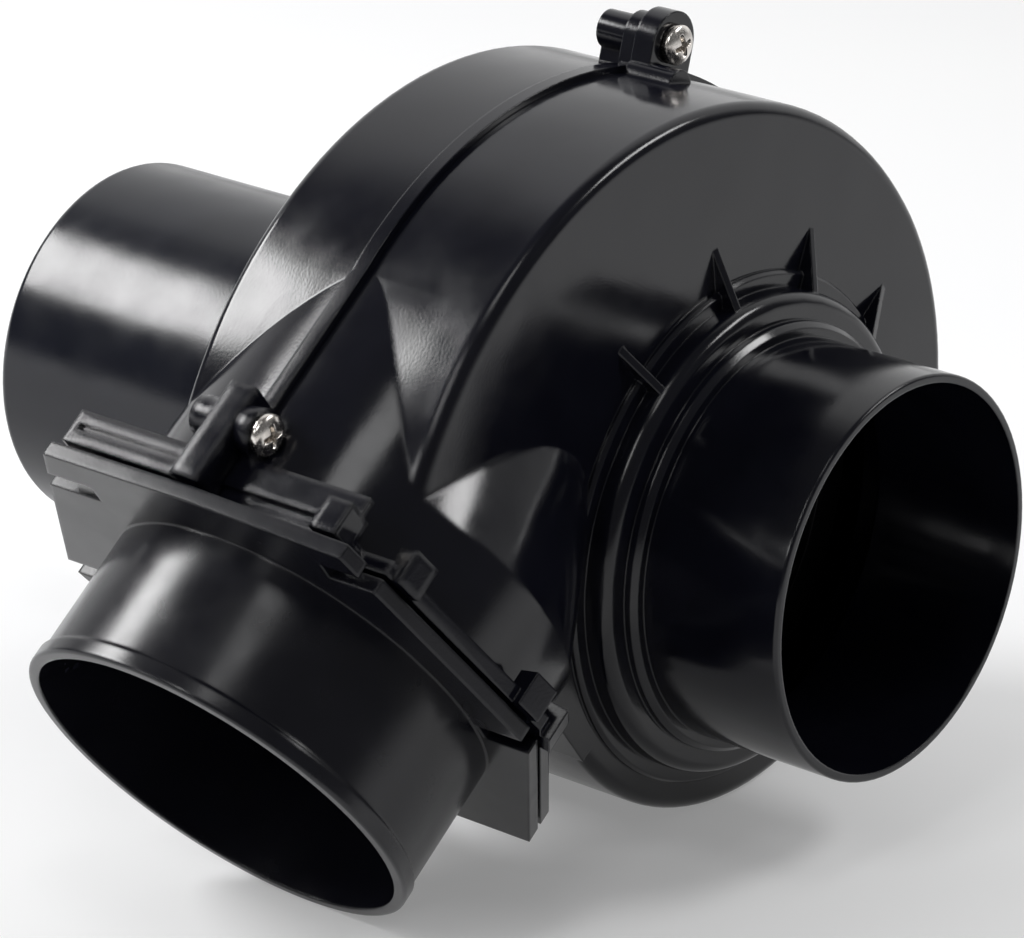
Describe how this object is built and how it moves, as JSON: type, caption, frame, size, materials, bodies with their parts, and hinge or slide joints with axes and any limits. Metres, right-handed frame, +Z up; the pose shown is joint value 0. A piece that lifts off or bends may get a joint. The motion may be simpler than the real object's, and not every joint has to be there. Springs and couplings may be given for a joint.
{
  "type": "centrifugal duct blower",
  "caption": "Centrifugal intake fan: black plastic scroll with a round inlet pipe, a flanged round outlet and a motor under a long cover; a bladed wheel turns inside.",
  "frame": {"origin": "centre of the inlet pipe's mouth", "axes": "-Y out of the inlet along the fan axis, +Y towards the motor cover, +Z up as the fan rests on a table on its scroll and the rim of its outlet, -X towards the outlet side"},
  "size_m": [0.2057, 0.1894, 0.145],
  "materials": {
    "shell_plastic": "glossy injection-moulded black, soft moulding ripple",
    "spigot_plastic": "satin moulded black",
    "gasket_foam": "matt closed-cell foam",
    "screw_nickel": "bright nickel plate",
    "screw_steel": "zinc-plated steel",
    "grommet_rubber": "matt black rubber",
    "can_steel": "drawn and plated sheet steel",
    "ferrite": "dull sintered ferrite",
    "cap_nylon": "filled nylon",
    "bearing_bronze": "oil-soaked sintered bronze",
    "brush_carbon": "pressed carbon",
    "spring_steel": "bright spring wire",
    "terminal_brass": "stamped brass tab",
    "shaft_steel": "ground steel",
    "lamination_steel": "stacked electrical sheet",
    "copper_wire": "enamelled copper wire",
    "commutator_copper": "turned copper segments",
    "washer_nylon": "natural nylon",
    "impeller_plastic": "moulded black, satin",
    "bush_brass": "turned brass"
  },
  "bodies": {
    "housing": {"front_shell": "shell_plastic", "rear_shell": "shell_plastic", "motor_cover": "shell_plastic", "outlet_spigot": "spigot_plastic", "outlet_gasket": "gasket_foam", "case_screws": "screw_nickel", "cover_screws": "screw_steel", "motor_screws": "screw_steel", "cable_grommet": "grommet_rubber", "motor_can": "can_steel", "motor_magnets": "ferrite", "motor_end_cap": "cap_nylon", "front_bearing": "bearing_bronze", "rear_bearing": "bearing_bronze", "motor_brushes": "brush_carbon", "brush_springs": "spring_steel", "motor_terminals": "terminal_brass"},
    "rotor": {"shaft": "shaft_steel", "armature_core": "lamination_steel", "armature_windings": "copper_wire", "commutator": "commutator_copper", "thrust_washers": "washer_nylon", "impeller": "impeller_plastic", "impeller_bush": "bush_brass", "impeller_washer": "screw_steel", "impeller_nut": "screw_steel"}
  },
  "joints": [
    {"name": "rotor_spin", "type": "hinge", "parent": "housing", "child": "rotor", "pos_m": [0, 0.0657, 0], "axis": [0, -1, 0], "continuous": true}
  ]
}
